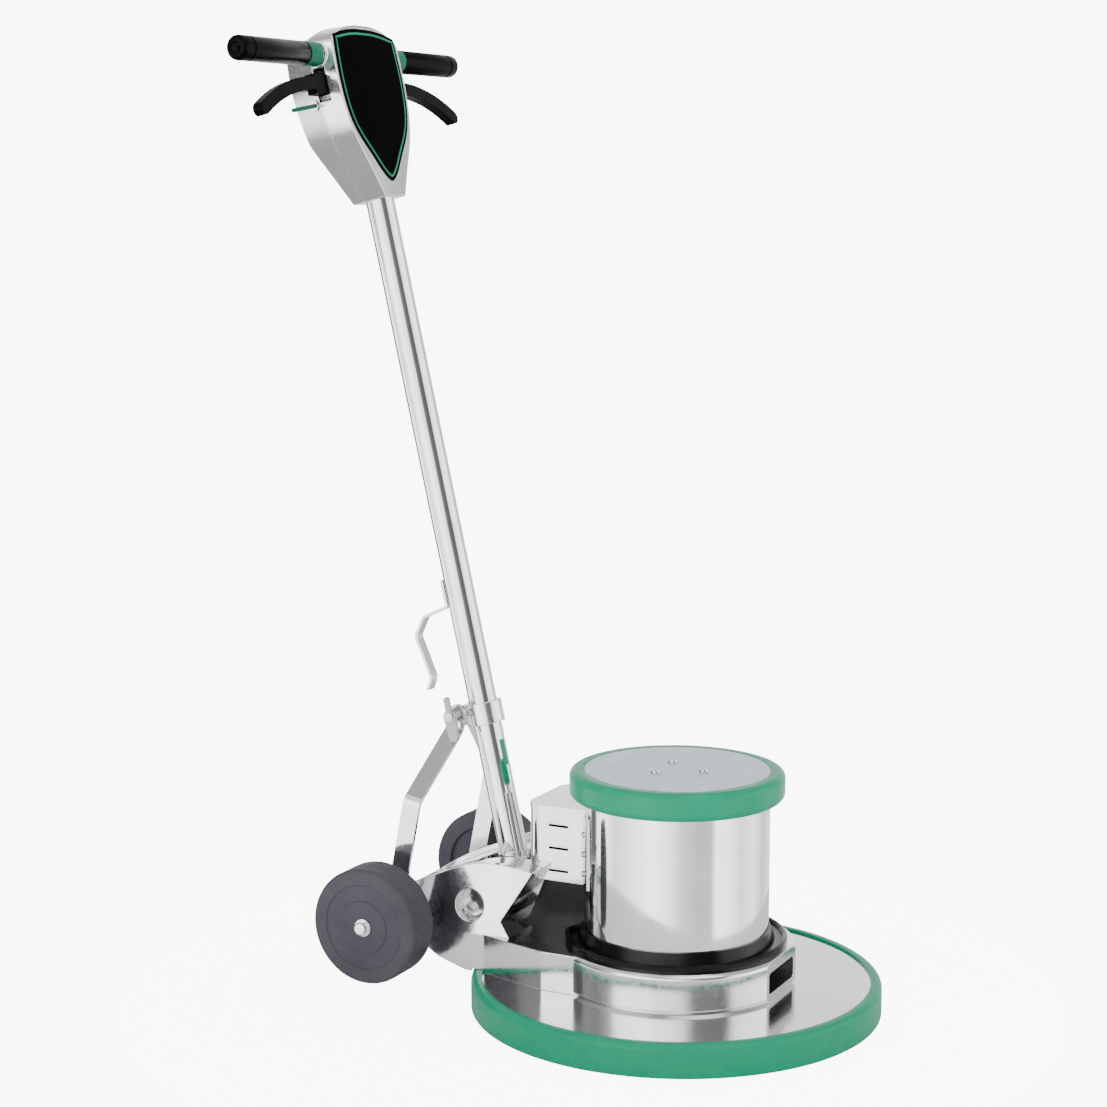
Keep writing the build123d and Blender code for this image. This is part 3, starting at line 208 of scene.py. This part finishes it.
looks = {
    "polished_casting": metal("polished_casting", grey(0.84), grey(0.93, 1.01), 0.10, 0.20,
                              edge=0.0022, wave=0.0030, mark=0.00001),
    "apron_metal": spun.material,
    "bright_steel": metal("bright_steel", grey(0.80), grey(0.90, 1.02), 0.04, 0.11,
                          stretch=(3, 3, 0.1), edge=0.0006, wave=0.0004),
    "brushed_plate": brushed.material,
    "plain_steel": metal("plain_steel", grey(0.5), grey(0.68), 0.18, 0.32, edge=0.0003),
    "motor_steel": metal("motor_steel", grey(0.22), grey(0.3), 0.3, 0.5),
    "cast_bracket": metal("cast_bracket", grey(0.42), grey(0.52), 0.4, 0.6, mark=0.0001),
    "lamination_steel": metal("lamination_steel", grey(0.26), grey(0.34), 0.3, 0.5,
                              stretch=(0.1, 0.1, 6), mark=0.0001),
    "gear_steel": metal("gear_steel", grey(0.36), grey(0.46), 0.2, 0.35, mark=0.00003),
    "hub_iron": metal("hub_iron", grey(0.12), grey(0.18), 0.4, 0.6, mark=0.0001),
    "lever_grey": metal("lever_grey", grey(0.30), grey(0.40), 0.3, 0.45, edge=0.0008, mark=0.00004),
    "copper": copper.material,
    "green_bumper": moulded("green_bumper", (0.002, 0.285, 0.142), (0.004, 0.315, 0.158), 0.26, 0.36,
                            depth=0.00001, coat=0.05, gloss=0.10),
    "green_sleeve": moulded("green_sleeve", (0.001, 0.135, 0.068), (0.002, 0.158, 0.080), 0.3, 0.4,
                            edge=0.0008, gloss=0.12),
    "black_rubber": moulded("black_rubber", grey(0.002), grey(0.005), 0.16, 0.28, gloss=0.22),
    "grip_rubber": moulded("grip_rubber", grey(0.0008), grey(0.0016), 0.2, 0.3, depth=0.00003,
                           gloss=0.05),
    "trigger_black": moulded("trigger_black", grey(0.0008), grey(0.0018), 0.34, 0.48, edge=0.003,
                             depth=0.00008, gloss=0.05),
    "tyre_grey": moulded("tyre_grey", (0.062, 0.054, 0.068), (0.078, 0.069, 0.085), 0.5, 0.65,
                         depth=0.00006, gloss=0.16),
    "wheel_grey": moulded("wheel_grey", (0.058, 0.050, 0.066), (0.074, 0.064, 0.083), 0.42, 0.55,
                          gloss=0.16),
    "badge_black": moulded("badge_black", grey(0.0004), grey(0.0008), 0.2, 0.3, depth=0.000005,
                           gloss=0.008),
    "gear_nylon": moulded("gear_nylon", (0.68, 0.64, 0.53), (0.78, 0.75, 0.64), 0.4, 0.5),
    "fan_black": moulded("fan_black", grey(0.02), grey(0.035), 0.4, 0.55),
    "slider_nylon": moulded("slider_nylon", grey(0.68), grey(0.76), 0.35, 0.5),
    "switch_black": moulded("switch_black", grey(0.02), grey(0.034), 0.3, 0.45),
    "gland_black": moulded("gland_black", grey(0.016), grey(0.026), 0.35, 0.5, edge=0.0006),
}
line_green = moulded("badge_line", (0.003, 0.21, 0.11), (0.005, 0.25, 0.13), 0.25, 0.35, depth=0.000005,
                     gloss=0.1)
# near-black look for the sheet in the nose recess: painted dark reflection, not the casting's own colour
nose_painted_reflection = moulded("nose_painted_reflection", grey(0.001), grey(0.002), 0.4, 0.5, gloss=0.02)
decal_green = moulded("decal_film", (0.03, 0.26, 0.15), (0.05, 0.30, 0.18), 0.3, 0.4, depth=0.000005,
                      gloss=0.1)

for name, thing in nodes.items():
    for holder in thing.material_slots:
        holder.material = looks[slot_of[name]]
    thing.data.set_sharp_from_angle(angle=radians(28))


# ---- mesh helpers ---------------------------------------------------------------------------
def piece(name, verts, faces, body, slot, *replaced, look=None):
    """Mesh object that rides on a body and stands for CAD nodes."""
    data = bpy.data.meshes.new(name)
    data.from_pydata([tuple(v) for v in verts], [], faces)
    data.validate()
    data.update()
    for polygon in data.polygons:
        polygon.use_smooth = True
    data.set_sharp_from_angle(angle=radians(35))
    data.materials.append(look or looks[slot])
    made = bpy.data.objects.new(name, data)
    bpy.context.scene.collection.objects.link(made)
    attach(made, body)
    if replaced:
        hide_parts(*replaced)
    return made


def rounded(points, radii, steps=6):
    """Closed outline with its corners rounded by the given radii."""
    out = []
    count = len(points)
    for i in range(count):
        here = Vector(points[i])
        back = Vector(points[i - 1]) - here
        ahead = Vector(points[(i + 1) % count]) - here
        radius = radii[i]
        if not radius:
            out.append(here)
            continue
        half = back.angle(ahead) / 2
        cut = radius / tan(half)
        start = here + back.normalized() * cut
        end = here + ahead.normalized() * cut
        centre = here + (back.normalized() + ahead.normalized()).normalized() * (radius / sin(half))
        for k in range(steps + 1):
            way = (start - centre).lerp(end - centre, k / steps)
            out.append(centre + way.normalized() * radius)
    return out


def lathe(name, outline, origin, axis, body, slot, *replaced, steps=192):
    """Closed outline of (radius, height along the axis) turned around the axis."""
    axis = Vector(axis).normalized()
    side = axis.orthogonal().normalized()
    other = axis.cross(side)
    verts = []
    for k in range(steps):
        angle = 2 * pi * k / steps
        out = side * cos(angle) + other * sin(angle)
        verts += [Vector(origin) + out * r + axis * h for r, h in outline]
    count = len(outline)
    faces = []
    for k in range(steps):
        a, b = k * count, (k + 1) % steps * count
        for i in range(count):
            j = (i + 1) % count
            faces.append((a + i, b + i, b + j, a + j))
    return piece(name, verts, faces, body, slot, *replaced)


# ---- base and motor cover -------------------------------------------------------------------
BASE = (0, 0, 0)
rim_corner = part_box("apron_bumper")[1]
outer, rim = rim_corner.x, rim_corner.z
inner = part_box("apron")[1].x
lip = inner - 0.006             # the lips above and below the plate reach in to here
plate_high, plate_low = rim - 0.003, rim - 0.007
lathe("apron_bumper_skin", rounded(
    [(inner, 0), (outer, 0), (outer, rim), (lip, rim), (lip, plate_high), (inner, plate_high),
     (inner, plate_low), (lip, plate_low), (lip, plate_low - 0.004), (inner, plate_low - 0.008)],
    [0.001, 0.004, 0.008, 0.001, 0, 0, 0, 0, 0, 0]),
    BASE, UPRIGHT, "chassis", "green_bumper", "apron_bumper")

(low, high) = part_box("motor_bumper")
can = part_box("motor_can")[1]
lathe("motor_bumper_skin", rounded(
    [(can.x, low.z), (high.x, low.z), (high.x, high.z), (can.x, high.z)],
    [0.002, 0.009, 0.009, 0.002]), BASE, UPRIGHT, "chassis", "green_bumper", "motor_bumper")

can_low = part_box("motor_can")[0].z
can_inner = can.x - 0.0025
lathe("motor_can_skin", [(can_inner, can_low), (can.x, can_low), (can.x, can.z), (can_inner, can.z)],
      BASE, UPRIGHT, "chassis", "bright_steel", "motor_can", steps=256)

# near-black sheet in the recess on the nose, with softened corners: the recess is real, but its black is a
# painted dark reflection
PANEL_HALF, PANEL_LOW, PANEL_HIGH, NOSE = 0.0418, 0.0492, 0.0768, -0.1470
panel = rounded([(-PANEL_HALF, PANEL_LOW), (PANEL_HALF, PANEL_LOW), (PANEL_HALF, PANEL_HIGH),
                 (-PANEL_HALF, PANEL_HIGH)], [0.005] * 4)
panel_middle = (PANEL_LOW + PANEL_HIGH) / 2
verts = []
for depth, inset in ((0.0019, 0.0), (0.0006, 0.0), (0.0003, 0.0004)):
    for corner in panel:
        verts.append((corner.x * (1 - inset / PANEL_HALF), NOSE + depth,
                      corner.y + (inset if corner.y < panel_middle else -inset)))
count = len(panel)
faces = [tuple(range(count))[::-1], tuple(range(2 * count, 3 * count))]
for row in (0, count):
    faces += [(row + i, row + (i + 1) % count, row + count + (i + 1) % count, row + count + i)
              for i in range(count)]
piece("nose_painted_reflection_sheet", verts, faces, "chassis", "black_rubber", look=nose_painted_reflection)

# ---- handle tube, grips and sleeves ---------------------------------------------------------
TUBE_RADIUS = 0.01905
TUBE_BORE = TUBE_RADIUS - 0.0016
TUBE_LENGTH = 0.947
lathe("handle_tube_skin", [(TUBE_BORE, 0), (TUBE_RADIUS, 0), (TUBE_RADIUS, TUBE_LENGTH),
                           (TUBE_BORE, TUBE_LENGTH)],
      on_handle(-0.022), UP_HANDLE, "handle", "bright_steel", "handle_tube", steps=96)

GRIP_S = 1.073
grip_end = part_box("grips")[1].x
sleeve_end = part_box("grip_sleeves")[1].x
GRIP_RADIUS = 0.0157
BAR_RADIUS = 0.0127
GROOVE_RADIUS = GRIP_RADIUS - 0.0012
END_ROUND = 0.006
for side, word in ((-1, "right"), (1, "left")):
    length = grip_end - sleeve_end
    outline = [(BAR_RADIUS, 0), (GRIP_RADIUS - 0.0006, 0), (GRIP_RADIUS, 0.001)]
    groove = length - 0.022
    outline += [(GRIP_RADIUS, groove - 0.002), (GROOVE_RADIUS, groove - 0.001),
                (GROOVE_RADIUS, groove + 0.001), (GRIP_RADIUS, groove + 0.002)]
    outline += [(GRIP_RADIUS, length - END_ROUND)]
    outline += [(GRIP_RADIUS - END_ROUND * (1 - cos(a)), length - END_ROUND + END_ROUND * sin(a))
                for a in (0.4, 0.8, 1.2, pi / 2)]
    outline += [(0.0075, length), (0.0068, length - 0.0015), (0.0045, length - 0.0022),
                (0.0001, length - 0.0022), (0.0001, length - 0.004), (BAR_RADIUS, length - 0.004)]
    start = on_handle(GRIP_S, side * sleeve_end)
    grip_nodes = ("grips",) if side < 0 else ()
    lathe(f"grip_{word}_skin", outline, start, ACROSS * side, "handle", "grip_rubber", *grip_nodes,
          steps=64)


# ---- badge line and tube decal --------------------------------------------------------------
def badge_loop(inset, lift):
    """Points around the badge, drawn in by an inset and lifted off its face."""
    flat = []
    data = nodes["badge"].data
    depth = [v.co.dot(REARWARD) for v in data.vertices]
    face = min(depth)
    centre = on_handle(1.02)
    for v, d in zip(data.vertices, depth):
        if d - face < 0.0002:
            away = v.co - centre
            flat.append((atan2(away.dot(UP_HANDLE), away.x), away.x, away.dot(UP_HANDLE)))
    flat.sort()
    rim = [Vector((x, s)) for angle, x, s in flat]
    rim = [p for i, p in enumerate(rim) if (p - rim[i - 1]).length > 0.0004]
    count = len(rim)
    out = []
    for i in range(count):
        along = rim[(i + 2) % count] - rim[i - 2]
        inward = Vector((-along.y, along.x)).normalized()
        p = rim[i] + inward * inset
        spot = centre + ACROSS * p.x + UP_HANDLE * p.y
        out.append(spot + REARWARD * (face - lift - spot.dot(REARWARD)))
    return out


def strip(name, edges, body, slot, look, closed=True):
    """Band between two rows of points."""
    count = len(edges[0])
    faces = [(i, (i + 1) % count, count + (i + 1) % count, count + i)
             for i in range(count if closed else count - 1)]
    return piece(name, list(edges[0]) + list(edges[1]), faces, body, slot, look=look)


strip("badge_line", (badge_loop(0.0045, 0.00025), badge_loop(0.0075, 0.00025)), "handle", "badge_black",
      line_green)

DECAL_FOOT, DECAL_TOP = 0.116, 0.151
decal_rows = []
for s in (DECAL_FOOT, DECAL_TOP):
    row = []
    for k in range(17):
        angle = radians(-1 + 26 * k / 16)
        out = REARWARD * -cos(angle) - ACROSS * sin(angle)
        row.append(on_handle(s) + out * (TUBE_RADIUS + 0.00015))
    decal_rows.append(row)
strip("tube_decal", decal_rows, "handle", "bright_steel", decal_green, closed=False)

# ---- floor, lights, sky and camera ----------------------------------------------------------
# The camera sees a plain white floor and backdrop. Reflections and lighting see the studio walls below.
FLOOR_RADIUS = 0.62
bpy.ops.mesh.primitive_circle_add(vertices=96, radius=FLOOR_RADIUS, fill_type="NGON",
                                  location=(0, 0.12, -0.0005))
floor = bpy.context.object
floor.name = "floor"
BACKDROP = 9.0                  # brightness of the white backdrop and floor, seen directly
FLOOR_BOUNCE = 0.6              # the floor's own share of it, from the lights
pale = Shader("pale_floor", Roughness=0.9)
pale.tint(pale.noise(1.5, 2.0), grey(0.93), grey(0.95))
pale.surface.inputs["Emission Color"].default_value = (1, 1, 1, 1)
seen = pale.node("Math", operation="MULTIPLY")
seen.inputs[1].default_value = BACKDROP - FLOOR_BOUNCE
pale.link(pale.node("LightPath").outputs["Is Camera Ray"], seen.inputs[0])
pale.link(seen.outputs[0], pale.surface.inputs["Emission Strength"])
floor.data.materials.append(pale.material)


def soft_light(name, azimuth, elevation, distance, size, power):
    """Square soft box that looks at the middle of the machine."""
    target = Vector((0, 0.15, 0.5))
    way = Vector((cos(radians(azimuth)) * cos(radians(elevation)),
                  sin(radians(azimuth)) * cos(radians(elevation)), sin(radians(elevation))))
    data = bpy.data.lights.new(name, "AREA")
    data.size = size
    data.energy = power
    made = bpy.data.objects.new(name, data)
    made.location = target + way * distance
    made.rotation_euler = (-way).to_track_quat("-Z", "Y").to_euler()
    bpy.context.scene.collection.objects.link(made)


soft_light("key", 235, 55, 3.2, 2.2, 28)
soft_light("fill", 150, 40, 3.5, 2.4, 14)
soft_light("top", 20, 80, 3.4, 2.6, 26)

# tones of the studio's walls by compass angle, in degrees from +X: at eye level and low down
UPPER_WALLS = [(-180, 3.2), (-152, 2.6), (-141, 0.25), (-108, 0.12), (-98, 2.4), (-60, 3.2), (-26, 0.6),
               (-4, 1.8), (50, 1.8), (62, 0.4), (86, 0.15), (112, 0.3), (124, 0.2), (138, 0.5), (147, 3.4),
               (170, 3.8)]
LOWER_WALLS = [(-180, 3.2), (-165, 2.7), (-152, 1.5), (-130, 1.0), (-113, 1.1), (-106, 3.4), (-90, 3.0),
               (-70, 1.8), (-50, 2.6), (-25, 1.2), (0, 1.8), (50, 1.8), (62, 0.3), (84, 0.15), (91, 3.8),
               (104, 3.2), (122, 1.9), (150, 2.8), (168, 3.6)]
BRIGHTEST = 4.0

world = bpy.data.worlds.new("studio")
bpy.context.scene.world = world
world.use_nodes = True
tree = world.node_tree
background = tree.nodes["Background"]
split = tree.nodes.new("ShaderNodeSeparateXYZ")
tree.links.new(tree.nodes.new("ShaderNodeTexCoord").outputs["Generated"], split.inputs[0])


def ranged(source, from_low, from_high):
    """Value brought from a range to 0..1."""
    made = tree.nodes.new("ShaderNodeMapRange")
    made.inputs["From Min"].default_value = from_low
    made.inputs["From Max"].default_value = from_high
    tree.links.new(source, made.inputs["Value"])
    return made.outputs[0]


def wall_ramp(walls):
    """Colour ramp of wall tones round the compass."""
    ramp = tree.nodes.new("ShaderNodeValToRGB")
    tree.links.new(compass, ramp.inputs["Fac"])
    stops = ramp.color_ramp.elements
    stops.remove(stops[1])
    stops[0].position = 0
    for i, (angle, tone) in enumerate(walls):
        stop = stops[0] if i == 0 else stops.new((angle + 180) / 360)
        level = tone / BRIGHTEST
        stop.color = (level * 0.99, level, level * 1.01, 1)
    return ramp.outputs["Color"]


def mixed(factor, first, second):
    """Blend of two colours, each a socket or a plain tone."""
    made = tree.nodes.new("ShaderNodeMix")
    made.data_type = "RGBA"
    tree.links.new(factor, made.inputs["Factor"])
    for key, value in (("A", first), ("B", second)):
        if isinstance(value, float):
            made.inputs[key].default_value = (value, value, value, 1)
        else:
            tree.links.new(value, made.inputs[key])
    return made.outputs["Result"]


around = tree.nodes.new("ShaderNodeMath")
around.operation = "ARCTAN2"
tree.links.new(split.outputs["Y"], around.inputs[0])
tree.links.new(split.outputs["X"], around.inputs[1])
compass = ranged(around.outputs[0], -pi, pi)
rise = split.outputs["Z"]
sides = mixed(ranged(rise, -0.12, -0.03), wall_ramp(LOWER_WALLS), wall_ramp(UPPER_WALLS))
under = mixed(ranged(rise, -0.55, -0.3), 0.12, sides)
everything = mixed(ranged(rise, 0.3, 0.6), under, 0.14)
camera_ray = tree.nodes.new("ShaderNodeLightPath").outputs["Is Camera Ray"]
tree.links.new(mixed(camera_ray, everything, 1.0), background.inputs["Color"])
power = tree.nodes.new("ShaderNodeMapRange")
power.inputs["To Min"].default_value = BRIGHTEST
power.inputs["To Max"].default_value = BACKDROP
tree.links.new(camera_ray, power.inputs["Value"])
tree.links.new(power.outputs[0], background.inputs["Strength"])

CAMERA_PLACE = Vector((-2.7399, -1.2087, 1.0539))
CAMERA_AIM = Vector((0.8819, 0.4465, -0.1512))
camera_data = bpy.data.cameras.new("camera")
camera_data.lens = 77.58
camera_data.sensor_width = 36.0
camera_data.clip_end = 200.0
camera = bpy.data.objects.new("camera", camera_data)
camera.location = CAMERA_PLACE
camera.rotation_euler = CAMERA_AIM.to_track_quat("-Z", "Y").to_euler()
bpy.context.scene.collection.objects.link(camera)
bpy.context.scene.camera = camera
